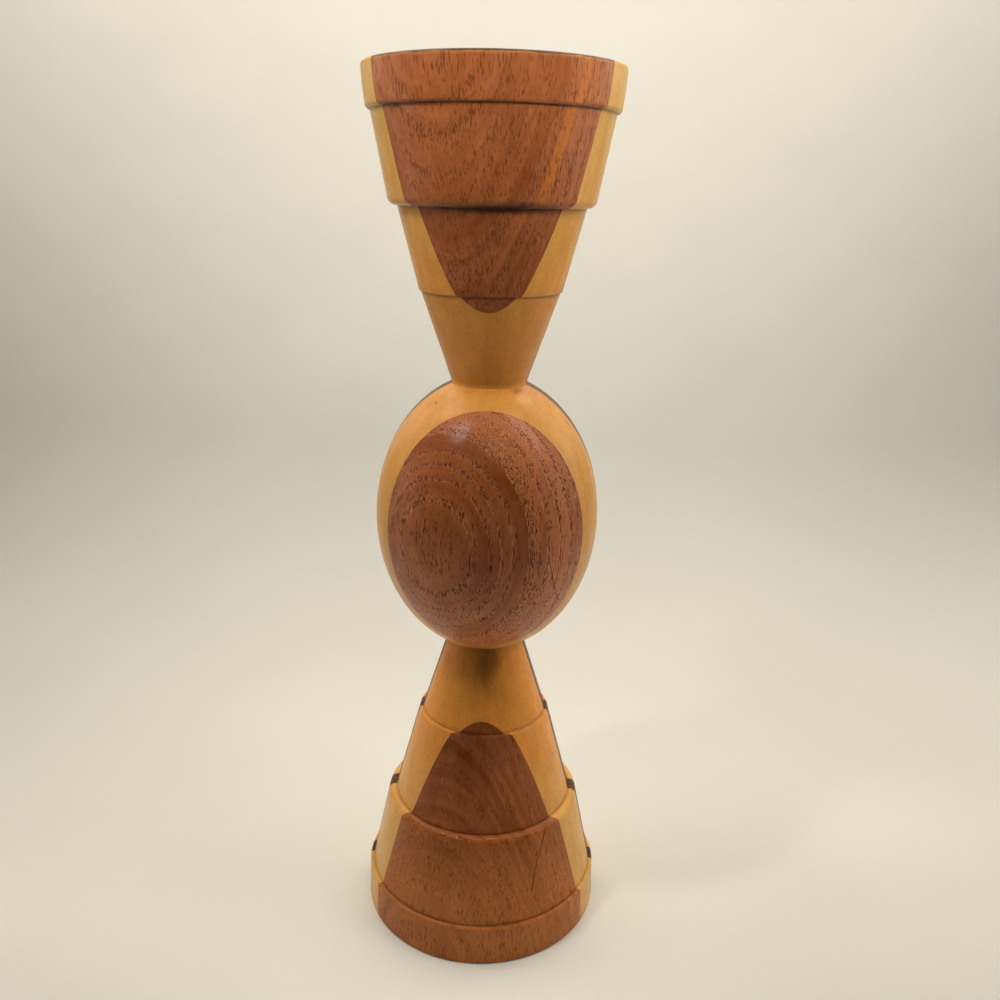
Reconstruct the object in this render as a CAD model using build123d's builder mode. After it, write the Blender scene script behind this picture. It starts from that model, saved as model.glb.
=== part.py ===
# Candle holder turned from one laminated blank: dark facings glued to light boards about a dark strip.
# Millimetres. Z runs up the turning axis from the middle of the underside, and the front faces -Y.
from build123d import *
import math
import os

# Base, from the underside up. A band's diameter is the one at its wide end.
foot_diameter = 81.8
foot_height = 14.0
foot_ledge = 1.4
base_band_diameter = 78.2
base_band_height = 29.2
base_band_ledge = 2.4
base_collar_diameter = 61.1
base_collar_height = 31.8
base_collar_ledge = 1.0
base_cone_diameter = 42.0
base_cone_height = 27.1
lower_neck_diameter = 25.0

# Egg, measured as a whole ellipse before the necks cut off its ends
egg_diameter = 71.7
egg_height = 91.8
upper_neck_diameter = 23.8
upper_neck_land = 1.0

# Cup, from the upper neck to the rim
cup_cone_height = 27.0
cup_cone_diameter = 42.5
cup_collar_ledge = 0.5
cup_collar_height = 24.4
cup_collar_diameter = 56.1
cup_band_ledge = 2.5
cup_band_height = 25.9
cup_band_diameter = 70.9
rim_ledge = 1.2
rim_belly_height = 6.0
rim_belly_diameter = 75.1
rim_height = 12.1
rim_diameter = 75.7

# Rounded edges. The corners behind the lips are cut crisp.
rim_round = 0.8
rim_belly_round = 60.0
foot_round = 0.8
lip_round = 3.0
lip_share = 0.85

# Drip dish in the top, and the socket bored in it for a taper candle
rim_land = 5.0
dish_depth = 3.0
candle_diameter = 22.0
candle_clearance = 0.5
socket_depth = 25.0

# Boards of the blank, across the turning axis
strip_thickness = 6.0
light_board_thickness = 16.7

# Heights of the turned levels
foot_top = foot_height
base_band_top = foot_top + base_band_height
base_collar_top = base_band_top + base_collar_height
lower_neck = base_collar_top + base_cone_height
egg_below = egg_height / 2 * math.sqrt(1 - (lower_neck_diameter / egg_diameter) ** 2)
egg_above = egg_height / 2 * math.sqrt(1 - (upper_neck_diameter / egg_diameter) ** 2)
egg_centre = lower_neck + egg_below
egg_top = egg_centre + egg_above
upper_neck = egg_top + upper_neck_land
cup_cone_top = upper_neck + cup_cone_height
cup_collar_top = cup_cone_top + cup_collar_height
cup_band_top = cup_collar_top + cup_band_height
rim_top = cup_band_top + rim_height

# Candle seat
dish_radius = rim_diameter / 2 - rim_land
dish_sphere = (dish_radius**2 + dish_depth**2) / (2 * dish_depth)
dish_angle = math.degrees(math.asin(dish_radius / dish_sphere))
socket_diameter = candle_diameter + candle_clearance

# Glue planes: the strip's two faces, and the light boards' outer faces under the facings
strip_face = strip_thickness / 2
board_face = strip_face + light_board_thickness
front_strip_glue = Plane.XZ.offset(strip_face)
back_strip_glue = Plane.XZ.offset(-strip_face)
front_facing_glue = Plane.XZ.offset(board_face)
back_facing_glue = Plane.XZ.offset(-board_face)


def edge_radius(before, corner, after, wanted):
    """Radius wanted on a turned edge, held to a share of the shorter run beside it."""
    run_in = Vector(*corner) - Vector(*before)
    run_out = Vector(*after) - Vector(*corner)
    half_turn = math.radians(run_in.get_angle(run_out)) / 2
    room = lip_share * min(run_in.length, run_out.length)
    return min(wanted, room / math.tan(half_turn))


def edge_radii(corners, wanted):
    """One radius for each inner corner of a stepped outline."""
    return [edge_radius(*edge) for edge in zip(corners, corners[1:], corners[2:], wanted)]


# Stepped base
base_corners = [
    (0, 0),
    (foot_diameter / 2, 0),
    (base_band_diameter / 2 + foot_ledge, foot_top),
    (base_band_diameter / 2, foot_top),
    (base_collar_diameter / 2 + base_band_ledge, base_band_top),
    (base_collar_diameter / 2, base_band_top),
    (base_cone_diameter / 2 + base_collar_ledge, base_collar_top),
    (base_cone_diameter / 2, base_collar_top),
    (lower_neck_diameter / 2, lower_neck),
]
base_rounds = [foot_round] + [lip_round, 0] * 3
with BuildPart() as base_form:
    with BuildSketch(Plane.XZ) as base_profile:
        with BuildLine() as base_outline:
            FilletPolyline(*base_corners, radius=edge_radii(base_corners, base_rounds))
            Polyline((lower_neck_diameter / 2, lower_neck), (0, lower_neck), (0, 0))
        make_face()
    revolve(axis=Axis.Z)

# Egg, with the short land of the upper neck on top
egg_start = -math.degrees(math.acos(lower_neck_diameter / egg_diameter))
egg_sweep = math.degrees(math.acos(upper_neck_diameter / egg_diameter)) - egg_start
with BuildPart() as egg_form:
    with BuildSketch(Plane.XZ) as egg_profile:
        with BuildLine() as egg_outline:
            EllipticalCenterArc(
                (0, egg_centre), egg_diameter / 2, egg_height / 2, egg_start, arc_size=egg_sweep
            )
            Polyline(
                (upper_neck_diameter / 2, egg_top),
                (upper_neck_diameter / 2, upper_neck),
                (0, upper_neck),
                (0, lower_neck),
                (lower_neck_diameter / 2, lower_neck),
            )
        make_face()
    revolve(axis=Axis.Z)

# Stepped cup with its dished top, bored for the candle
cup_corners = [
    (upper_neck_diameter / 2, upper_neck),
    (cup_cone_diameter / 2, cup_cone_top),
    (cup_cone_diameter / 2 + cup_collar_ledge, cup_cone_top),
    (cup_collar_diameter / 2, cup_collar_top),
    (cup_collar_diameter / 2 + cup_band_ledge, cup_collar_top),
    (cup_band_diameter / 2, cup_band_top),
    (cup_band_diameter / 2 + rim_ledge, cup_band_top),
    (rim_belly_diameter / 2, cup_band_top + rim_belly_height),
    (rim_diameter / 2, rim_top),
    (dish_radius, rim_top),
]
cup_rounds = [0, lip_round] * 3 + [rim_belly_round, rim_round]
dish_floor = rim_top - dish_depth
with BuildPart() as cup_form:
    with BuildSketch(Plane.XZ) as cup_profile:
        with BuildLine() as cup_outline:
            FilletPolyline(*cup_corners, radius=edge_radii(cup_corners, cup_rounds))
            CenterArc((0, dish_floor + dish_sphere), dish_sphere, -90, dish_angle)
            Polyline((0, dish_floor), (0, upper_neck), (upper_neck_diameter / 2, upper_neck))
        make_face()
    revolve(axis=Axis.Z)
    with Locations((0, 0, rim_top)):
        Hole(socket_diameter / 2, depth=dish_depth + socket_depth)

# The whole spindle, which the boards run through from foot to rim
with BuildPart() as spindle:
    add(base_form.part)
    add(egg_form.part)
    add(cup_form.part)

with BuildPart() as front_light_board:
    add(spindle.part)
    split(bisect_by=front_facing_glue, keep=Keep.BOTTOM)
    split(bisect_by=front_strip_glue, keep=Keep.TOP)

with BuildPart() as centre_strip:
    add(spindle.part)
    split(bisect_by=front_strip_glue, keep=Keep.BOTTOM)
    split(bisect_by=back_strip_glue, keep=Keep.TOP)

with BuildPart() as back_light_board:
    add(spindle.part)
    split(bisect_by=back_strip_glue, keep=Keep.BOTTOM)
    split(bisect_by=back_facing_glue, keep=Keep.TOP)


def facing(section, glue_plane, outer_side):
    """The part of a turned section outside its glue plane: the necks are cut below the facings."""
    with BuildPart() as piece:
        add(section.part)
        split(bisect_by=glue_plane, keep=outer_side)
    return piece


pieces = {
    "front_light_board": front_light_board,
    "centre_strip": centre_strip,
    "back_light_board": back_light_board,
}
for place, form in {"base": base_form, "egg": egg_form, "cup": cup_form}.items():
    pieces[f"front_{place}_facing"] = facing(form, front_facing_glue, Keep.TOP)
    pieces[f"back_{place}_facing"] = facing(form, back_facing_glue, Keep.BOTTOM)

os.makedirs("parts", exist_ok=True)
for name, piece in pieces.items():
    piece.part.label = name
    export_step(piece.part, f"parts/{name}.step")
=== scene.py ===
"""Dresses a turned, laminated candle holder: walnut facings and strip, maple boards, clear varnish."""

import math

import bpy
from bpy.props import FloatProperty, FloatVectorProperty, PointerProperty
from mathutils import Euler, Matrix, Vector


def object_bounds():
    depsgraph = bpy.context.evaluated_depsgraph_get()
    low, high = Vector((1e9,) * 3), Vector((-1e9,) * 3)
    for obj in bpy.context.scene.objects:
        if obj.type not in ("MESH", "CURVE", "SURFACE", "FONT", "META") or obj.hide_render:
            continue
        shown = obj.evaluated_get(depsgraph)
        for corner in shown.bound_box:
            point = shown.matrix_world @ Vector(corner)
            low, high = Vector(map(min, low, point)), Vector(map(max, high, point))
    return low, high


bl_info = {
    "name": "Laminated candle holder",
    "version": (1, 0, 0),
    "blender": (4, 5, 0),
    "location": "View3D > Sidebar > Candle holder",
    "description": "Gives a turned candle holder its walnut, maple and varnish, and sets its studio stage",
    "category": "Object",
}

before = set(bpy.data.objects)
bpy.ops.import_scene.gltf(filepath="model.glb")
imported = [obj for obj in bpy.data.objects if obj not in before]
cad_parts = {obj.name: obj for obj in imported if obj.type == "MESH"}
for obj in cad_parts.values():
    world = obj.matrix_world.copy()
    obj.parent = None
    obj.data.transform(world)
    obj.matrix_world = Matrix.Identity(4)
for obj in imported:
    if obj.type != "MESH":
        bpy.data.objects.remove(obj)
CAD_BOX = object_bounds()
MM = 0.001

FRONT_FACINGS = ("front_cup_facing", "front_egg_facing", "front_base_facing")
BACK_FACINGS = ("back_cup_facing", "back_egg_facing", "back_base_facing")
LIGHT_BOARDS = ("front_light_board", "back_light_board")
CENTRE_STRIP = ("centre_strip",)

# The tree that each walnut board was sawn from, in millimetres: where its pith ran at half height, and how
# the pith leaned and bowed over each span of height. Each year has the distance from the pith where it ends,
# how much paler it is than the board, and the share of it that is porous. A golden streak runs between two
# distances above one height: the strip's starts above its top, so it shows none. The board's paleness, its
# share of open pores and the clearness of its rings drift with height, and so does how far the varnish has
# yellowed it.
MID_HEIGHT = 145.0
LEAN_SPAN = 100.0
FRONT_BOARD = {
    "pith": (94.5, 200.4),
    "lean": (-6.5, 1.1),
    "bow": (2.8, 2.4),
    "years": (
        (232.0, -0.1, 0.9), (235.6, 0.05, 0.6), (239.3, 0.3, 0.6), (242.8, 0.38, 0.6), (247.3, 0.28, 0.95),
        (250.4, -0.3, 0.35), (252.3, -0.02, 0.5), (253.8, -0.18, 0.5), (255.7, -0.05, 0.5),
        (258.4, 0.0, 0.65),
    ),
    "streak": (242.0, 245.2, 229.0),
    # Partly painted shade: darker at the top of the base band under the collar's lip, and on the egg's
    # middle, which faces the dark front
    "paleness_and_shade": (
        (0, 0.84), (18, 0.8), (28, 0.6), (41, 0.34), (60, 0.22), (76, 0.15), (104, 1.1), (122, 1.1),
        (140, 0.78), (155, 0.65), (172, 0.7), (184, 0.75), (210, 0.1), (228, 0.26), (243, 0.42), (256, 0.58),
        (272, 0.74),
    ),
    "pores": ((0, 1.0), (40, 0.7), (78, 0.5), (108, 1.0), (200, 1.0), (280, 1.1)),
    "figure": ((0, 0.3), (78, 0.35), (110, 1.0), (182, 1.0), (212, 0.35), (280, 0.25)),
    "amber": ((0, 0.36), (14, 0.36), (30, 0.3), (42, 0.2), (50, 0.0), (280, 0.0)),
}
BACK_BOARD = {
    "pith": (-130.0, -150.0),
    "lean": (5.0, -3.0),
    "bow": (-2.0, 2.0),
    "years": (
        (196.0, 0.0, 0.6), (199.4, 0.15, 0.5), (202.0, -0.1, 0.4), (205.1, 0.05, 0.8), (209.0, 0.2, 0.6),
        (211.8, -0.15, 0.4), (215.3, 0.0, 0.6), (218.0, 0.1, 0.5), (222.0, -0.05, 0.7),
    ),
    "streak": (203.0, 204.5, 212.0),
    "paleness_and_shade": (
        (0, 0.7), (45, 0.4), (76, 0.25), (104, 0.8), (145, 0.7), (184, 0.7), (212, 0.3), (275, 0.8),
    ),
    "pores": ((0, 0.6), (100, 0.8), (200, 1.0), (280, 0.7)),
    "figure": ((0, 0.4), (78, 0.5), (110, 1.0), (182, 1.0), (212, 0.4), (280, 0.3)),
    "amber": ((0, 0.3), (42, 0.2), (60, 0.0), (280, 0.0)),
}
STRIP_BOARD = {
    "pith": (0.0, 170.0),
    "lean": (3.0, 2.0),
    "bow": (1.0, 1.0),
    "years": (
        (164.0, 0.0, 0.5), (166.8, 0.2, 0.6), (169.2, -0.1, 0.5), (171.9, 0.1, 0.6), (174.0, -0.1, 0.5),
    ),
    "streak": (160.0, 160.5, 300.0),
    "paleness_and_shade": ((0, 0.4), (140, 0.6), (280, 0.5)),
    "pores": ((0, 0.8), (140, 0.5), (280, 0.8)),
    "figure": ((0, 0.4), (140, 0.5), (280, 0.4)),
    "amber": ((0, 0.05), (280, 0.0)),
}
# How far the varnish has turned the maple to honey, by height
HONEY = (
    (0, 0.15), (20, 0.2), (36, 0.35), (43, 0.4), (50, 0.5), (60, 0.75), (70, 1.0), (98, 1.0), (106, 0.6),
    (184, 0.62), (191, 0.85), (215, 0.8), (235, 0.4), (250, 0.2), (265, 0.05), (280, 0.0),
)
# Painted light and shade on the maple, by height: darker on the cup's cone under the cup, brighter on the
# base's cone
MAPLE_LIGHT_AND_SHADE = (
    (0, 1.0), (45, 1.08), (60, 1.12), (78, 1.2), (98, 1.2), (104, 0.94), (186, 0.97), (191, 0.86),
    (214, 0.86), (222, 1.0), (280, 1.02),
)

# How much of the walnut's shine is left, by height
POLISH = ((0, 0.5), (42, 0.58), (60, 0.9), (80, 1.0), (280, 1.0))

# How far the film of varnish shines: full on the walnut, less on the maple and least on the strip's edges
GLOSSY, SATIN, DULL = 0.6, 0.5, 0.3

# The varnish at full shine: the sheen of the wood under it, the weight and roughness of the clear film, and
# how strongly the wood's relief and the film's ripple turn the light over their depth
SHEEN = 0.15
FILM_WEIGHT = 0.75
FILM_ROUGHNESS = 0.05
FILM_IOR = 1.5
RELIEF_STRENGTH = 1.0
RIPPLE_STRENGTH = 0.55
RELIEF_DEPTH = 0.2 * MM

# Wander of the grain: how far it strays, and over what distance across and along it, in millimetres
BROAD_WANDER = (0.5, 16.0, 60.0)
FINE_WANDER = (0.12, 3.0, 14.0)
PORE_WANDER_CELL = (9.0, 26.0)
PORE_WOBBLE = (0.3, 3.0, 4.5)
MAPLE_WANDER = (3.0, 30.0, 90.0)

# Drifts of tone: the size of one across and along the grain in millimetres, then its lowest and highest
WALNUT_CLOUDS = (9.0, 30.0, -0.18, 0.18)
WALNUT_ARCS = (1.3, 26.0, -0.25, 0.25)
WALNUT_MOTTLE = (1.6, 5.0, -0.1, 0.1)
WALNUT_RELIEF = (0.3, 4.0, -0.12, 0.12)
WALNUT_ROUGHNESS = (9.0, 9.0, 0.36, 0.5)
LINE_BREAKS = (6.0, 9.0, -0.1, 0.7)
PORE_DRIFTS = (2.2, 16.0, 0.0, 0.8)
MAPLE_HONEY = (5.0, 7.0, -0.12, 0.12)
MAPLE_CLOUDS = (5.0, 8.0, 0.96, 1.04)
MAPLE_MOTTLE = (0.8, 1.2, 0.95, 1.05)
MAPLE_SHINE = (3.0, 6.0, 0.85, 1.15)
MAPLE_ROUGHNESS = (12.0, 12.0, 0.36, 0.5)
FILM_RIPPLE = (0.9, 0.9, -0.25, 0.25)
GRIME_PATCHES = (14.0, 14.0, 0.5, 1.2)
CHECK_WAVER = (1.5, 1.5, -0.2, 0.2)
CARD_MOTTLE = (110.0, 110.0, 0.985, 1.015)

# Streaks along the grain: the length of one in widths, and its lowest and highest tone. A fleck lies below
# the face by a share of its tone.
FIBRE_RUN, FIBRE_TONES = 30, (-0.12, 0.12)
FIGURE_RUN, FIGURE_TONES = 20, (0.0, 0.25)
FLECK_RUN, FLECK_RELIEF = 14, -0.3

# The least and the largest pore, as shares of the pore width and of the full depth. Among the long pores lie
# shorter ones, which stand closer and fill more of their places.
PORE_WIDTHS = (0.65, 1.3)
PORE_DEPTHS = (0.5, 1.0)
LONG_PORE_SHARE = 0.9
SHORT_PORE_SPACING = 0.75
SHORT_PORE_RUN = 0.3

# Hairline checks in the front facings, as (across, height) places from the top down, in millimetres
CHECKS = (
    ((19.2, 144.0), (19.5, 141.5), (21.1, 133.4), (22.0, 129.5), (23.7, 123.4)),
    ((22.1, 43.6), (21.0, 38.0), (19.5, 33.0), (18.4, 27.0), (17.7, 22.0)),
)
# Marks on the front, in millimetres: (across, height) of the middle, and how far each reaches both ways
# The band under the cup band's lip is dirt and the painted shadow that the lip casts
DIRT_AND_SHADE = ((4.0, 240.8), (25.0, 2.4))
SMEAR = ((-1.5, 99.5), (10.5, 12.5))
STAIN = ((1.4, 97.5), (5.4, 8.5))
DOT = ((-15.7, 183.7), (0.5, 0.32))
# A brown smear at the upper neck: dirt and the painted shade of the neck's corner
SMUDGE_AND_SHADE = ((8.6, 187.6), (2.4, 0.9))
# A mark's edge is ragged by a share of its reach. The rim's dark edge varies between two shares of its
# width, in patches of so many millimetres. Half a check widens from its ends by so many widths over the
# check's length.
RAGGED_EDGE = 0.15
RIM_EDGE_WIDTHS = (0.75, 1.15)
RIM_EDGE_PATCH = 6.0
CHECK_TAPER = 6
# Share of the wood that each mark hides at its darkest
# That band's depth holds its painted shadow as well as its dirt
DIRT_AND_SHADE_DEPTH = 0.8
CHECK_DEPTH = 0.75
GLUE_DEPTH = 0.6
EDGE_DEPTH = 0.8
# The rim's paler band is worn wood and a painted highlight on the rounded edge
RUBBED_AND_HIGHLIT_DEPTH = 0.45
STREAK_DEPTH = 0.65
FLECK_DEPTH = 0.4
# The maple's share of the corner darkening, which is painted shade with some grime
MAPLE_GRIME_AND_SHADE = 0.6
MAPLE_MARKS = ((SMEAR, 0.4), (STAIN, 0.5), (DOT, 0.8), (SMUDGE_AND_SHADE, 0.35))

# The stage's floor in metres: its flat part, the sweep up to its wall, the wall's height, and how far it is
# set forward, which brings its wall near behind and leaves it far in front
FLOOR_FLAT, FLOOR_SWEEP, WALL_HEIGHT, FLOOR_FORWARD = 1.65, 0.8, 1.3, 1.4
# The floor's mesh: rings on the flat part as shares of its radius, steps up the sweep, and faces round it
FLAT_RINGS, SWEEP_STEPS, FLOOR_TURNS = (0.1, 0.5), 24, 96
CARD_ROUGHNESS = 0.8

# Softboxes in metres: place, aim, width and length, then the power in watts and the spread in degrees
LAMPS = {
    "high_wall_wash": ((0, 0.5, 0.8), (0, 1.05, 0.8), (1.4, 0.2), 5.25, 180),
    "low_wall_wash": ((0, 0.4, 0.62), (0, 1.05, 0.7), (1.4, 0.2), 0.7, 180),
    "back_ceiling": ((0, 0.35, 0.62), (0, 0.35, 0), (0.7, 0.35), 2.1, 180),
    "low_ceiling": ((0, 0.1, 0.5), (0, 0.12, 0), (0.7, 0.15), 0.06, 100),
    "right_softbox": ((0.5, 0.05, 0.33), (0, 0.05, 0.2), (0.5, 0.5), 0.83, 180),
    "right_back_softbox": ((0.5, 0.3, 0.4), (0, -0.1, 0.15), (0.3, 0.3), 0.1, 100),
    "high_back_softbox": ((0.4, 0.3, 0.7), (0, -0.05, 0.1), (0.3, 0.3), 0.11, 100),
    "left_softbox": ((-0.55, 0, 0.2), (0, 0, 0.2), (0.4, 0.3), 0.12, 120),
    "left_back_softbox": ((-0.5, 0.3, 0.4), (0, -0.1, 0.15), (0.3, 0.3), 0.09, 100),
    "left_strip": ((-0.16, 0.04, 0.42), (0, 0, 0.15), (0.04, 0.3), 0.045, 70),
    "right_strip": ((0.13, -0.05, 0.42), (0, -0.01, 0.215), (0.04, 0.3), 0.05, 70),
    "cup_lamp": ((0.03, -0.2, 0.37), (0, 0, 0.265), (0.2, 0.03), 0.04, 50),
    "egg_lamp": ((-0.14, -0.105, 0.415), (-0.007, -0.024, 0.178), (0.02, 0.05), 0.028, 60),
    "left_floor_lamp": ((-0.2, -0.03, 0.5), (-0.17, -0.03, 0), (0.1, 0.1), 0.037, 50),
    "right_floor_lamp": ((0.2, -0.03, 0.5), (0.17, -0.03, 0), (0.1, 0.1), 0.011, 50),
    "front_floor_lamp": ((0, -0.09, 0.5), (0, -0.08, 0), (0.12, 0.02), 0.012, 24),
}


def linear(code):
    """A colour written as an sRGB hex code, as linear red, green and blue."""
    shares = [int(code[i : i + 2], 16) / 255 for i in (1, 3, 5)]
    return tuple(s / 12.92 if s <= 0.04045 else ((s + 0.055) / 1.055) ** 2.4 for s in shares)


def colour(name, description, code):
    """A colour that a user may change."""
    return FloatVectorProperty(
        name=name, description=description, subtype="COLOR", size=3, min=0, max=1, default=linear(code)
    )


def length(name, description, metres):
    """A length that a user may change."""
    return FloatProperty(name=name, description=description, unit="LENGTH", precision=5, default=metres)


class WalnutLook(bpy.types.PropertyGroup):
    """Turned walnut."""

    dark: colour("Dark wood", "The smooth, red-brown wood of the facings", "#934e22")
    pale: colour("Pale wood", "The open, golden brown wood of the facings", "#c67648")
    line: colour("Ring line", "The thin pale end of a year", "#d59a62")
    streak: colour("Golden streak", "One golden year in the board", "#d98238")
    amber: colour("Amber", "The wood near the foot, where the varnish has yellowed", "#c0730a")
    pore: colour("Pore", "The bottom of an open pore under the varnish", "#38140a")
    strip_dark: colour("Strip, dark wood", "The dark grain of the centre strip", "#553624")
    strip_pale: colour("Strip, pale wood", "The paler grain of the centre strip", "#70503a")
    # Real pores are about 0.2 mm across and fibres finer still: both are drawn coarser, so that they show
    pore_spacing: length("Pore spacing", "From one pore to the next across the grain", 0.54 * MM)
    pore_run: length("Pore run", "From one pore to the next along the grain", 9.0 * MM)
    pore_width: length("Pore width", "Across one open pore", 0.37 * MM)
    pore_wander: length("Pore wander", "How far a pore strays sideways as it runs up the grain", 1.6 * MM)
    fibre_width: length("Fibre width", "Across one fine streak of fibres", 0.5 * MM)


class MapleLook(bpy.types.PropertyGroup):
    """Turned maple."""

    face: colour("Young varnish", "The wood where its varnish has stayed clear", "#e4b45f")
    honey: colour("Old varnish", "The wood where its varnish has turned to honey", "#ee9f46")
    shade: colour("Dark grain", "The darker streaks of the figure", "#b26a2c")
    fleck: colour("Fleck", "Short fine flecks along the grain", "#7d4a1e")
    figure_width: length("Figure width", "Across one streak of the figure", 4.0 * MM)
    # Real flecks are about 0.1 mm across: they are drawn coarser, so that they show
    fleck_width: length("Fleck width", "Across one fleck", 0.25 * MM)


class WearLook(bpy.types.PropertyGroup):
    """Marks of use, and painted shade in the turning's corners."""

    # This colour serves real marks (dust, checks, glue lines, the rim's dark edge) and painted shade in the
    # corners
    grime_and_shade: colour("Grime", "Dust and old polish in the corners", "#2a1a10")
    # The stain colour also paints shade in the smear at the upper neck
    stain_and_shade: colour("Stain", "A dark smear below the egg", "#3b2810")
    # Under a lip the corner darkening is mostly painted shade that the lip casts; on a ledge it is dust and
    # painted shade
    hanging_reach: length("Grime under a lip", "How far it reaches from the corner", 1.2 * MM)
    standing_reach: length("Grime on a ledge", "How far it reaches from the corner", 1.0 * MM)
    hanging_grime_and_shade: FloatProperty(
        name="Depth under a lip", description="Share of wood that it hides", subtype="FACTOR", default=0.45
    )
    standing_grime_and_shade: FloatProperty(
        name="Depth on a ledge", description="Share of wood that it hides", subtype="FACTOR", default=0.4
    )
    glue_width: length("Glue line", "Across the dark line where the strip meets a light board", 0.5 * MM)
    edge_width: length("Rim edge", "Across the dark, handled edge of the rim", 0.62 * MM)
    check_width: length("Check width", "Across a hairline check in the walnut", 0.42 * MM)


class StageLook(bpy.types.PropertyGroup):
    """Floor, lamps and camera."""

    floor: colour("Floor", "The pale seamless floor and wall", "#eeeeea")
    lamp: colour("Lamp", "The light of the softboxes", "#fff6e6")
    camera_distance: length("Camera distance", "From the turning axis to the camera", 295.3 * MM)
    camera_height: length("Camera height", "From the floor to the camera", 245.6 * MM)
    camera_turn: FloatProperty(
        name="Camera turn", description="Round the turning axis", subtype="ANGLE", default=math.radians(1.7)
    )
    camera_dip: FloatProperty(
        name="Camera dip", description="Below level", subtype="ANGLE", default=math.radians(18.02)
    )
    camera_swing: FloatProperty(
        name="Camera swing", description="Away from the axis", subtype="ANGLE", default=math.radians(0.8)
    )
    camera_roll: FloatProperty(
        name="Camera roll", description="About the line of sight", subtype="ANGLE", default=math.radians(1.2)
    )
    lens: FloatProperty(
        name="Lens", description="Focal length on a 36 mm frame", unit="CAMERA", default=34.33
    )


class CandleHolderLook(bpy.types.PropertyGroup):
    """All the looks of the candle holder."""

    walnut: PointerProperty(type=WalnutLook)
    maple: PointerProperty(type=MapleLook)
    wear: PointerProperty(type=WearLook)
    stage: PointerProperty(type=StageLook)


def add(tree, kind, inputs=None, **settings):
    """A new node with its settings. Each input is a socket to link or a value to set. Gives its outputs."""
    node = tree.nodes.new(kind)
    for name, value in settings.items():
        setattr(node, name, value)
    for name, value in (inputs or {}).items():
        if isinstance(value, bpy.types.NodeSocket):
            tree.links.new(value, node.inputs[name])
        else:
            node.inputs[name].default_value = value
    return node.outputs


MATH = "ShaderNodeMath"
VECTOR = "ShaderNodeVectorMath"
RANGE = "ShaderNodeMapRange"
NOISE = "ShaderNodeTexNoise"
MIX = "ShaderNodeMix"
BUMP = "ShaderNodeBump"


def new_material(name):
    """An empty material, its node tree and the place of each surface point in millimetres."""
    material = bpy.data.materials.new(name)
    material.use_nodes = True
    tree = material.node_tree
    tree.nodes.clear()
    place = add(tree, "ShaderNodeTexCoord")["Object"]
    return material, tree, add(tree, VECTOR, {0: place, 3: 1 / MM}, operation="SCALE")[0]


def stretched(tree, point, across, along):
    """The point counted in grain cells: so many across the grain and so many along it."""
    scale = (1 / across, 1 / across, 1 / along)
    return add(tree, VECTOR, {0: point, 1: scale}, operation="MULTIPLY")[0]


def wandering(tree, point, reach, across, along):
    """The point moved by the drift of the grain."""
    cells = stretched(tree, point, across, along)
    drift = add(tree, NOISE, {"Vector": cells, "Scale": 1.0, "Detail": 1.0})["Color"]
    centred = add(tree, VECTOR, {0: drift, 1: (0.5, 0.5, 0.5)}, operation="SUBTRACT")[0]
    span = (2 * reach, 2 * reach, 0)
    return add(tree, VECTOR, {0: centred, 1: span, 2: point}, operation="MULTIPLY_ADD")[0]


def toned(tree, point, across, along, low, high):
    """A tone that drifts between low and high from one grain cell to the next."""
    cells = stretched(tree, point, across, along)
    cloud = add(tree, NOISE, {"Vector": cells, "Scale": 1.0, "Detail": 3.0})[0]
    return add(tree, RANGE, {0: cloud, 1: 0.3, 2: 0.7, 3: low, 4: high})[0]


def through(tree, value, places, handle="AUTO"):
    """The curve through (value, result) places in rising order. VECTOR runs straight between them."""
    values, results = zip(*places)
    low, span = min(results), max(results) - min(results)
    share = add(tree, RANGE, {0: value, 1: values[0], 2: values[-1]}, clamp=False)[0]
    curve = add(tree, "ShaderNodeFloatCurve", {"Value": share})[0]
    mapping = curve.node.mapping
    mapping.extend = "EXTRAPOLATED" if handle == "VECTOR" else "HORIZONTAL"
    mapping.use_clip = False
    points = mapping.curves[0].points
    spots = [((x - values[0]) / (values[-1] - values[0]), (y - low) / span) for x, y in places]
    points[0].location, points[1].location = spots[0], spots[-1]
    for spot in spots[1:-1]:
        points.new(*spot)
    for one in points:
        one.handle_type = handle
    mapping.update()
    return add(tree, MATH, {0: curve, 1: span, 2: low}, operation="MULTIPLY_ADD")[0]


def joined(tree, operation, first, *others):
    """Three values or more, joined one after another by the same operation."""
    for other in others:
        first = add(tree, MATH, {0: first, 1: other}, operation=operation)[0]
    return first


def laid_over(tree, ground, layers):
    """A ground colour with layers laid over it in turn: where each lies, how deep it is, and its colour."""
    for where, depth, top in layers:
        share = add(tree, MATH, {0: where, 1: depth}, operation="MULTIPLY")[0]
        ground = add(tree, MIX, {0: share, 6: ground, 7: rgba(top)}, data_type="RGBA")[2]
    return ground


def rgba(values):
    """A colour property with full alpha."""
    return (*values, 1.0)


def pith_distance(tree, point, board):
    """How far the point is from the bowed pith of the tree."""
    x, y, z = add(tree, "ShaderNodeSeparateXYZ", {0: point})
    spans = add(tree, RANGE, {0: z, 1: MID_HEIGHT, 2: MID_HEIGHT + LEAN_SPAN}, clamp=False)[0]
    offsets = []
    for here, place, lean, bow in zip((x, y), board["pith"], board["lean"], board["bow"]):
        slope = add(tree, MATH, {0: spans, 1: bow, 2: lean}, operation="MULTIPLY_ADD")[0]
        pith = add(tree, MATH, {0: spans, 1: slope, 2: place}, operation="MULTIPLY_ADD")[0]
        offsets.append(add(tree, MATH, {0: here, 1: pith}, operation="SUBTRACT")[0])
    flat = add(tree, "ShaderNodeCombineXYZ", {0: offsets[0], 1: offsets[1]})[0]
    return add(tree, VECTOR, {0: flat}, operation="LENGTH")["Value"]


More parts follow.
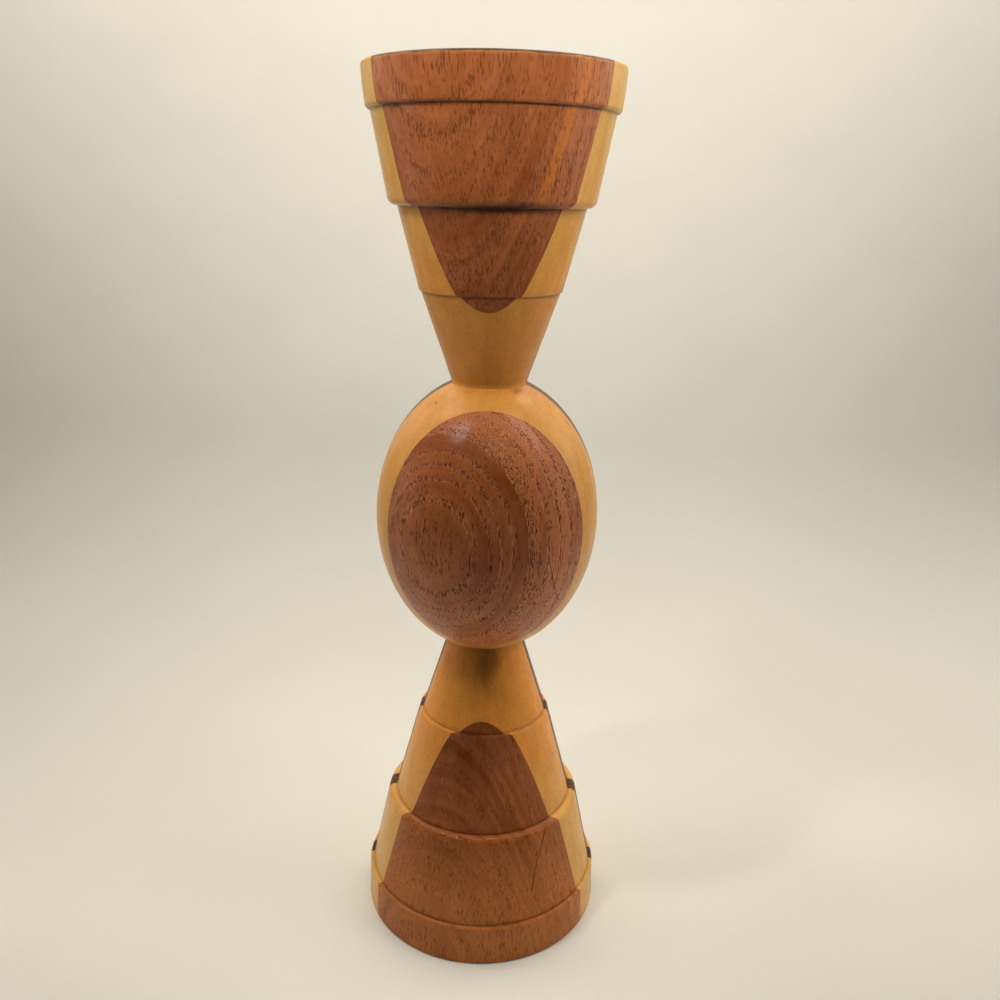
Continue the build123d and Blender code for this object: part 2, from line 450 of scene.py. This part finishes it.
def pores(tree, point, spacing, run, width, share, swell):
    """Open pores: short tubes along the grain, on a share of their places. 1 at the middle of one."""
    cells = stretched(tree, point, spacing, run)
    cell = add(tree, "ShaderNodeTexVoronoi", {"Vector": cells, "Scale": 1.0, "Randomness": 0.95})
    chance, size, depth = add(tree, "ShaderNodeSeparateColor", {0: cell["Color"]})
    least, largest = (part * width / spacing / 2 for part in PORE_WIDTHS)
    reach = add(tree, RANGE, {0: size, 3: least, 4: largest})[0]
    swollen = add(tree, MATH, {0: reach, 1: swell}, operation="MULTIPLY")[0]
    inside = add(tree, MATH, {0: cell["Distance"], 1: swollen}, operation="DIVIDE")[0]
    tube = add(tree, RANGE, {0: inside, 1: 1.1, 2: 0.6}, interpolation_type="SMOOTHSTEP")[0]
    there = add(tree, MATH, {0: chance, 1: share}, operation="LESS_THAN")[0]
    deep = add(tree, RANGE, {0: depth, 3: PORE_DEPTHS[0], 4: PORE_DEPTHS[1]})[0]
    return joined(tree, "MULTIPLY", tube, there, deep)


def turned_creases():
    """Radius and height of each inner corner, read off a board that runs the whole height."""
    levels = {}
    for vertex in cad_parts[LIGHT_BOARDS[0]].data.vertices:
        levels.setdefault(round(vertex.co.z / MM, 2), []).append(math.hypot(vertex.co.x, vertex.co.y) / MM)
    least_flat, least_ring, socket_side, top = 0.02, 20, 11.5, CAD_BOX[1][2] / MM
    creases = []
    for height, radii in sorted(levels.items()):
        outer = [r for r in radii if r > socket_side]
        if 0 < height < top - 1 and len(outer) > least_ring and max(outer) - min(outer) > least_flat:
            creases.append((min(outer), height))
    return creases


def turned_profile(tree, point):
    """Where the point is on the turned outline, as (radius, height)."""
    x, y, z = add(tree, "ShaderNodeSeparateXYZ", {0: point})
    flat = add(tree, "ShaderNodeCombineXYZ", {0: x, 1: y})[0]
    radius = add(tree, VECTOR, {0: flat}, operation="LENGTH")["Value"]
    return add(tree, "ShaderNodeCombineXYZ", {0: radius, 1: z})[0]


def crease_grime_and_shade(tree, point, wear):
    """Grime and painted shade in the turning's corners: deepest in a corner, fading out of it in patches."""
    profile = turned_profile(tree, point)
    patchy = toned(tree, point, *GRIME_PATCHES)
    deepest = 0.0
    for corner, height in turned_creases():
        hanging = height > MID_HEIGHT
        reach = (wear.hanging_reach if hanging else wear.standing_reach) / MM
        away = add(tree, VECTOR, {0: profile, 1: (corner, height, 0)}, operation="DISTANCE")["Value"]
        edge = add(tree, MATH, {0: patchy, 1: reach}, operation="MULTIPLY")[0]
        near = add(tree, MATH, {0: away, 1: edge}, operation="DIVIDE")[0]
        depth = wear.hanging_grime_and_shade if hanging else wear.standing_grime_and_shade
        dark = add(tree, RANGE, {0: near, 1: 1.0, 2: 0.2, 4: depth}, interpolation_type="SMOOTHSTEP")[0]
        deepest = add(tree, MATH, {0: dark, 1: deepest}, operation="MAXIMUM")[0]
    return deepest


def rim_edge(tree, point, wear):
    """The rim's handled edge: factors for its dark line and for the paler band beside it, worn wood and a
    painted highlight.
    """
    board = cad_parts[LIGHT_BOARDS[0]].data
    top = max(vertex.co.z for vertex in board.vertices)
    radius = max(math.hypot(*vertex.co.xy) for vertex in board.vertices if vertex.co.z > top - 2 * MM)
    corner = (radius / MM, top / MM, 0)
    away = add(tree, VECTOR, {0: turned_profile(tree, point), 1: corner}, operation="DISTANCE")["Value"]
    least, largest = (part * wear.edge_width / MM for part in RIM_EDGE_WIDTHS)
    uneven = toned(tree, point, RIM_EDGE_PATCH, RIM_EDGE_PATCH, least, largest)
    widths = add(tree, MATH, {0: away, 1: uneven}, operation="DIVIDE")[0]
    dark = add(tree, RANGE, {0: widths, 1: 1.15, 2: 0.85})[0]
    # The paler band: worn wood, and a painted highlight where light catches the rounded edge
    rubbed_and_highlit = add(tree, RANGE, {0: widths, 1: 2.2, 2: 1.4})[0]
    return dark, rubbed_and_highlit


def glue_lines(tree, point, width):
    """The strip's two glue lines: 1 at its faces, fading into its wood."""
    face = max(vertex.co.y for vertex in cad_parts[CENTRE_STRIP[0]].data.vertices) / MM
    y = add(tree, "ShaderNodeSeparateXYZ", {0: point})["Y"]
    across = add(tree, MATH, {0: y}, operation="ABSOLUTE")[0]
    return add(tree, RANGE, {0: across, 1: face - width, 2: face - width / 2})[0]


def hairline_checks(tree, point, width):
    """Cracks along the grain of the front facings: 1 in a crack, which thins to nothing at its ends."""
    x, _, z = add(tree, "ShaderNodeSeparateXYZ", {0: point})
    across = add(tree, MATH, {0: x, 1: toned(tree, point, *CHECK_WAVER)}, operation="ADD")[0]
    deepest = 0.0
    for check in CHECKS:
        rising = [(height, place) for place, height in reversed(check)]
        offset = add(tree, MATH, {0: across, 1: through(tree, z, rising)}, operation="SUBTRACT")[0]
        away = add(tree, MATH, {0: offset}, operation="ABSOLUTE")[0]
        along = add(tree, RANGE, {0: z, 1: rising[0][0], 2: rising[-1][0]})[0]
        from_end = add(tree, MATH, {0: along, 1: 0.5}, operation="PINGPONG")[0]
        taper = add(tree, MATH, {0: from_end, 1: CHECK_TAPER * width}, operation="MULTIPLY")[0]
        half = add(tree, MATH, {0: taper, 1: width / 2}, operation="MINIMUM")[0]
        inside = add(tree, MATH, {0: half, 1: away}, operation="SUBTRACT")[0]
        dark = add(tree, RANGE, {0: inside, 1: 0.0, 2: width / 3})[0]
        deepest = add(tree, MATH, {0: dark, 1: deepest}, operation="MAXIMUM")[0]
    return deepest


def blot(tree, point, mark):
    """A mark on the front: 1 in the middle, fading to its ragged edge."""
    (across, height), (wide, high) = mark
    offset = add(tree, VECTOR, {0: point, 1: (across, 0, height)}, operation="SUBTRACT")[0]
    shares = add(tree, VECTOR, {0: offset, 1: (1 / wide, 0, 1 / high)}, operation="MULTIPLY")[0]
    away = add(tree, VECTOR, {0: shares}, operation="LENGTH")["Value"]
    uneven = toned(tree, point, wide / 4, wide, -RAGGED_EDGE, RAGGED_EDGE)
    ragged = add(tree, MATH, {0: away, 1: uneven}, operation="ADD")[0]
    return add(tree, RANGE, {0: ragged, 1: 1.0, 2: 0.1}, interpolation_type="SMOOTHSTEP")[0]


def varnish(tree, wood, rough, relief, film, gloss, shine):
    """Wood under a wiped film of clear varnish: a satin sheen with a thin, sharper gloss that ripples."""
    bump = add(tree, BUMP, {"Height": relief, "Strength": RELIEF_STRENGTH, "Distance": RELIEF_DEPTH})[0]
    ripple = add(tree, BUMP, {"Height": film, "Strength": RIPPLE_STRENGTH, "Distance": RELIEF_DEPTH})[0]
    weight = add(tree, MATH, {0: shine, 1: FILM_WEIGHT * gloss}, operation="MULTIPLY")[0]
    shader = add(
        tree,
        "ShaderNodeBsdfPrincipled",
        {
            "Base Color": wood,
            "Roughness": rough,
            "Specular IOR Level": SHEEN * gloss,
            "Normal": bump,
            "Coat Weight": weight,
            "Coat Roughness": FILM_ROUGHNESS,
            "Coat IOR": FILM_IOR,
            "Coat Normal": ripple,
        },
    )[0]
    add(tree, "ShaderNodeOutputMaterial", {"Surface": shader})


def varnished_walnut(name, board, dark, pale, gloss, worn_front=False, glued=False):
    """Walnut, turned and wiped with clear varnish.

    The eye gets red-brown rings, rows of open pores drawn as dashes where the cut runs with the grain
    and as dots where it runs across, and a satin film that the pores break up.
    """
    look = bpy.context.scene.candle_holder.walnut
    wear = bpy.context.scene.candle_holder.wear
    material, tree, point = new_material(name)
    height = add(tree, "ShaderNodeSeparateXYZ", {0: point})["Z"]
    grown = wandering(tree, wandering(tree, point, *BROAD_WANDER), *FINE_WANDER)
    distance = pith_distance(tree, grown, board)
    ends, tints, shares = zip(*board["years"])
    years = through(tree, distance, list(zip(ends, range(len(ends)))), "VECTOR")
    part = add(tree, MATH, {0: years}, operation="FRACT")[0]
    whole = add(tree, MATH, {0: years}, operation="FLOOR")[0]
    tint = through(tree, whole, list(zip(range(-1, len(ends)), tints)))
    share = through(tree, whole, list(zip(range(-1, len(ends)), shares)))
    figure = through(tree, height, board["figure"])

    # A year starts smooth and dark, turns porous and paler, and ends in a thin pale line
    ahead = add(tree, MATH, {0: part, 1: share}, operation="ADD")[0]
    past = add(tree, MATH, {0: ahead, 1: 1.0}, operation="SUBTRACT")[0]
    into = add(tree, MATH, {0: past, 1: share}, operation="DIVIDE")[0]
    porous = add(tree, RANGE, {0: into, 1: -0.3, 2: 0.7, 3: -0.16, 4: 0.16})[0]
    line = add(tree, RANGE, {0: part, 1: 0.9, 2: 0.97})[0]
    line = joined(tree, "MULTIPLY", line, toned(tree, point, *LINE_BREAKS), figure, figure)
    start, end, foot = board["streak"]
    streak_in = add(tree, RANGE, {0: distance, 1: start, 2: start + 0.7})[0]
    streak_out = add(tree, RANGE, {0: distance, 1: end, 2: end - 0.7})[0]
    streak_up = add(tree, RANGE, {0: height, 1: foot, 2: foot + 20})[0]
    streak = joined(tree, "MULTIPLY", streak_in, streak_out, streak_up)

    # Paleness drifts up the board, from year to year, in smoky arcs, broad clouds and fine fibres. On the
    # front board its height curve also paints shade.
    fibre = look.fibre_width / MM
    arcs = add(tree, "ShaderNodeCombineXYZ", {0: distance, 2: height})[0]
    year = add(tree, MATH, {0: tint, 1: porous}, operation="ADD")[0]
    paleness_and_shade = joined(
        tree,
        "ADD",
        through(tree, height, board["paleness_and_shade"]),
        add(tree, MATH, {0: year, 1: figure}, operation="MULTIPLY")[0],
        toned(tree, grown, *WALNUT_CLOUDS),
        toned(tree, arcs, *WALNUT_ARCS),
        toned(tree, grown, *WALNUT_MOTTLE),
        toned(tree, grown, fibre, FIBRE_RUN * fibre, *FIBRE_TONES),
    )
    wood = add(
        tree, MIX, {0: paleness_and_shade, 6: rgba(dark), 7: rgba(pale)}, data_type="RGBA", clamp_factor=False
    )[2]
    amber = through(tree, height, board["amber"])
    layers = [(streak, STREAK_DEPTH, look.streak), (line, 1.0, look.line), (amber, 1.0, look.amber)]
    wood = laid_over(tree, wood, layers)

    # Pores crowd and swell towards the end of a year. Where the rings are faint they lie in loose drifts.
    crowd = add(tree, RANGE, {0: into, 1: -0.15, 2: 0.4, 3: 0.15, 4: 1.0})[0]
    drifts = toned(tree, arcs, *PORE_DRIFTS)
    crowd = add(tree, MIX, {0: figure, 2: drifts, 3: crowd})[0]
    open_wood = add(tree, RANGE, {0: figure, 1: 0.3, 2: 1.0, 3: 0.56, 4: 0.92})[0]
    late = add(tree, RANGE, {0: into, 1: 0.0, 2: 1.0, 3: 0.7, 4: 1.15})[0]
    faint = add(tree, RANGE, {0: figure, 1: 0.3, 2: 1.0, 3: 1.1, 4: 1.0})[0]
    swell = add(tree, MATH, {0: late, 1: faint}, operation="MULTIPLY")[0]
    strayed = wandering(tree, point, look.pore_wander / MM, *PORE_WANDER_CELL)
    strayed = wandering(tree, strayed, *PORE_WOBBLE)
    spacing, run, width = look.pore_spacing / MM, look.pore_run / MM, look.pore_width / MM
    crowd = add(tree, MATH, {0: crowd, 1: through(tree, height, board["pores"])}, operation="MULTIPLY")[0]
    fewer = add(tree, MATH, {0: crowd, 1: LONG_PORE_SHARE}, operation="MULTIPLY")[0]
    long = pores(tree, strayed, spacing, run, width, fewer, swell)
    short = pores(tree, strayed, SHORT_PORE_SPACING * spacing, SHORT_PORE_RUN * run, width, crowd, swell)
    hollow = add(tree, MATH, {0: long, 1: short}, operation="MAXIMUM")[0]
    edge, rubbed_and_highlit = rim_edge(tree, point, wear)
    layers = [
        (hollow, open_wood, look.pore),
        # Corners darkened by grime and painted shade
        (crease_grime_and_shade(tree, point, wear), 1.0, wear.grime_and_shade),
        # Worn wood and painted highlight beside the rim's edge
        (rubbed_and_highlit, RUBBED_AND_HIGHLIT_DEPTH, look.line),
        (edge, EDGE_DEPTH, wear.grime_and_shade),
    ]
    if worn_front:
        crack = hairline_checks(tree, point, wear.check_width / MM)
        layers.append((crack, CHECK_DEPTH, wear.grime_and_shade))
        # Dirt and painted shadow under the cup band's lip
        layers.append((blot(tree, point, DIRT_AND_SHADE), DIRT_AND_SHADE_DEPTH, wear.grime_and_shade))
        hollow = add(tree, MATH, {0: hollow, 1: crack}, operation="MAXIMUM")[0]
    if glued:
        layers.append((glue_lines(tree, point, wear.glue_width / MM), GLUE_DEPTH, wear.grime_and_shade))
    wood = laid_over(tree, wood, layers)

    relief = add(tree, MATH, {0: toned(tree, grown, *WALNUT_RELIEF), 1: hollow}, operation="SUBTRACT")[0]
    film = add(tree, MATH, {0: toned(tree, point, *FILM_RIPPLE), 1: hollow}, operation="SUBTRACT")[0]
    closed = add(tree, RANGE, {0: hollow, 3: 1.0, 4: 0.0})[0]
    shine = add(tree, MATH, {0: closed, 1: through(tree, height, POLISH)}, operation="MULTIPLY")[0]
    varnish(tree, wood, toned(tree, point, *WALNUT_ROUGHNESS), relief, film, gloss, shine)
    return material


def varnished_maple(name, marked=False):
    """Maple, turned and wiped with clear varnish that has aged to honey.

    The eye gets a close, even wood with faint long streaks, short flecks and a soft mottle, more orange
    where the varnish has turned, under a satin film.
    """
    look = bpy.context.scene.candle_holder.maple
    wear = bpy.context.scene.candle_holder.wear
    material, tree, point = new_material(name)
    height = add(tree, "ShaderNodeSeparateXYZ", {0: point})["Z"]
    aged, drift = through(tree, height, HONEY), toned(tree, point, *MAPLE_HONEY)
    honey = add(tree, MATH, {0: aged, 1: drift}, operation="ADD")[0]
    drifted = wandering(tree, point, *MAPLE_WANDER)
    figure, fleck_width = look.figure_width / MM, look.fleck_width / MM
    streaks = toned(tree, drifted, figure, FIGURE_RUN * figure, *FIGURE_TONES)
    flecks = stretched(tree, drifted, fleck_width, FLECK_RUN * fleck_width)
    fleck = add(tree, NOISE, {"Vector": flecks, "Scale": 1.0, "Detail": 2.0})[0]
    fleck = add(tree, RANGE, {0: fleck, 1: 0.56, 2: 0.8, 4: FLECK_DEPTH})[0]
    layers = [(honey, 1.0, look.honey), (streaks, 1.0, look.shade), (fleck, 1.0, look.fleck)]
    wood = laid_over(tree, rgba(look.face), layers)
    # Painted light and shade by height, with drifts of tone
    shade_and_tone = joined(
        tree,
        "MULTIPLY",
        through(tree, height, MAPLE_LIGHT_AND_SHADE),
        toned(tree, point, *MAPLE_CLOUDS),
        toned(tree, point, *MAPLE_MOTTLE),
    )
    wood = add(tree, VECTOR, {0: wood, 3: shade_and_tone}, operation="SCALE")[0]
    # Corners darkened by grime and painted shade
    layers = [(crease_grime_and_shade(tree, point, wear), MAPLE_GRIME_AND_SHADE, wear.grime_and_shade)]
    if marked:
        for mark, depth in MAPLE_MARKS:
            layers.append((blot(tree, point, mark), depth, wear.stain_and_shade))
    wood = laid_over(tree, wood, layers)
    film = toned(tree, point, *FILM_RIPPLE)
    relief = add(tree, MATH, {0: fleck, 1: FLECK_RELIEF}, operation="MULTIPLY")[0]
    shine = toned(tree, point, *MAPLE_SHINE)
    varnish(tree, wood, toned(tree, point, *MAPLE_ROUGHNESS), relief, film, SATIN, shine)
    return material


def dress(names, material):
    """Gives the named pieces of the frame their material."""
    for name in names:
        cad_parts[name].material_slots[0].material = material


class FrontFacings(bpy.types.Operator):
    """Dress the three front facings in walnut from one board"""

    bl_idname = "candle_holder.front_facings"
    bl_label = "Front facings"

    def execute(self, context):
        look = context.scene.candle_holder.walnut
        name = "walnut_turned_varnished_front"
        walnut = varnished_walnut(name, FRONT_BOARD, look.dark, look.pale, GLOSSY, worn_front=True)
        dress(FRONT_FACINGS, walnut)
        return {"FINISHED"}


class BackFacings(bpy.types.Operator):
    """Dress the three back facings in walnut from one board"""

    bl_idname = "candle_holder.back_facings"
    bl_label = "Back facings"

    def execute(self, context):
        look = context.scene.candle_holder.walnut
        name = "walnut_turned_varnished_back"
        walnut = varnished_walnut(name, BACK_BOARD, look.dark, look.pale, GLOSSY)
        dress(BACK_FACINGS, walnut)
        return {"FINISHED"}


class CentreStrip(bpy.types.Operator):
    """Dress the strip between the light boards in walnut"""

    bl_idname = "candle_holder.centre_strip"
    bl_label = "Centre strip"

    def execute(self, context):
        look = context.scene.candle_holder.walnut
        name = "walnut_turned_varnished_strip"
        walnut = varnished_walnut(name, STRIP_BOARD, look.strip_dark, look.strip_pale, DULL, glued=True)
        dress(CENTRE_STRIP, walnut)
        return {"FINISHED"}


class LightBoards(bpy.types.Operator):
    """Dress the two light boards in maple"""

    bl_idname = "candle_holder.light_boards"
    bl_label = "Light boards"

    def execute(self, context):
        front, back = LIGHT_BOARDS
        dress([front], varnished_maple("maple_turned_varnished_front", marked=True))
        dress([back], varnished_maple("maple_turned_varnished_back"))
        return {"FINISHED"}


def seamless_floor(look):
    """A round floor that sweeps up into a wall on every side, near behind and far in front."""
    profile = [(FLOOR_FLAT * share, 0.0) for share in FLAT_RINGS]
    for i in range(SWEEP_STEPS + 1):
        angle = math.pi / 2 * i / SWEEP_STEPS
        rise = FLOOR_SWEEP * (1 - math.cos(angle))
        profile.append((FLOOR_FLAT + FLOOR_SWEEP * math.sin(angle), rise))
    profile.append((FLOOR_FLAT + FLOOR_SWEEP, WALL_HEIGHT))
    points = [(0.0, -FLOOR_FORWARD, 0.0)]
    for radius, height in profile:
        for j in range(FLOOR_TURNS):
            angle = math.tau * j / FLOOR_TURNS
            points.append((radius * math.cos(angle), radius * math.sin(angle) - FLOOR_FORWARD, height))
    following = [(j + 1) % FLOOR_TURNS for j in range(FLOOR_TURNS)]
    faces = [(0, 1 + j, 1 + after) for j, after in enumerate(following)]
    for i in range(len(profile) - 1):
        low, high = 1 + i * FLOOR_TURNS, 1 + (i + 1) * FLOOR_TURNS
        for j, after in enumerate(following):
            faces.append((low + j, high + j, high + after, low + after))
    mesh = bpy.data.meshes.new("seamless_floor")
    mesh.from_pydata(points, [], faces)
    mesh.shade_smooth()
    floor = bpy.data.objects.new("seamless_floor", mesh)
    bpy.context.scene.collection.objects.link(floor)
    mesh.materials.append(painted_card(look))


def painted_card(look):
    """Card with a flat coat of paint: pale, even and matt, with a faint mottle."""
    material, tree, point = new_material("card_painted_matt")
    mottle = toned(tree, point, *CARD_MOTTLE)
    paint = add(tree, VECTOR, {0: tuple(look.floor), 3: mottle}, operation="SCALE")[0]
    shader = add(tree, "ShaderNodeBsdfPrincipled", {"Base Color": paint, "Roughness": CARD_ROUGHNESS})[0]
    add(tree, "ShaderNodeOutputMaterial", {"Surface": shader})
    return material


def softbox(name, look, place, target, size, power, spread):
    """A soft lamp at a place, turned to a target, that throws its light over a spread in degrees."""
    data = bpy.data.lights.new(name, "AREA")
    data.shape = "RECTANGLE"
    data.size, data.size_y = size
    data.energy = power
    data.spread = math.radians(spread)
    data.color = look.lamp
    lamp = bpy.data.objects.new(name, data)
    lamp.location = place
    lamp.rotation_euler = (Vector(target) - Vector(place)).to_track_quat("-Z", "Y").to_euler()
    lamp.visible_camera = False
    bpy.context.scene.collection.objects.link(lamp)


class Stage(bpy.types.Operator):
    """Set the floor, the lamps and the camera"""

    bl_idname = "candle_holder.stage"
    bl_label = "Stage"

    def execute(self, context):
        look = context.scene.candle_holder.stage
        seamless_floor(look)
        for name, lamp in LAMPS.items():
            softbox(name, look, *lamp)
        world = bpy.data.worlds.new("dark_room")
        world.use_nodes = True
        world.node_tree.nodes["Background"].inputs["Strength"].default_value = 0.0
        context.scene.world = world
        context.scene.view_settings.view_transform = "Standard"

        data = bpy.data.cameras.new("camera")
        data.lens = look.lens
        data.sensor_width = 36.0
        data.clip_start = 0.01
        camera = bpy.data.objects.new("camera", data)
        turn = Euler((0, 0, look.camera_turn)).to_matrix()
        camera.location = turn @ Vector((0, -look.camera_distance, look.camera_height))
        heading = Euler((0, 0, look.camera_turn - look.camera_swing)).to_matrix()
        tilt = Euler((math.pi / 2 - look.camera_dip, 0, 0)).to_matrix()
        roll = Euler((0, 0, look.camera_roll)).to_matrix()
        camera.rotation_euler = (heading @ tilt @ roll).to_euler()
        context.scene.collection.objects.link(camera)
        context.scene.camera = camera
        return {"FINISHED"}


class LookPanel(bpy.types.Panel):
    """The candle holder's pieces and stage"""

    bl_idname = "VIEW3D_PT_candle_holder"
    bl_label = "Candle holder"
    bl_space_type = "VIEW_3D"
    bl_region_type = "UI"
    bl_category = "Candle holder"

    def draw(self, context):
        for operator in OPERATORS:
            self.layout.operator(operator.bl_idname)
        looks = context.scene.candle_holder
        for look in (looks.walnut, looks.maple, looks.wear, looks.stage):
            box = self.layout.box()
            for name in look.__annotations__:
                box.prop(look, name)


OPERATORS = (FrontFacings, BackFacings, CentreStrip, LightBoards, Stage)
CLASSES = (WalnutLook, MapleLook, WearLook, StageLook, CandleHolderLook, *OPERATORS, LookPanel)


def register():
    for one in CLASSES:
        bpy.utils.register_class(one)
    bpy.types.Scene.candle_holder = PointerProperty(type=CandleHolderLook)


def unregister():
    del bpy.types.Scene.candle_holder
    for one in reversed(CLASSES):
        bpy.utils.unregister_class(one)


def main():
    register()
    bpy.ops.candle_holder.front_facings()
    bpy.ops.candle_holder.back_facings()
    bpy.ops.candle_holder.centre_strip()
    bpy.ops.candle_holder.light_boards()
    bpy.ops.candle_holder.stage()


if __name__ == "__main__":
    main()
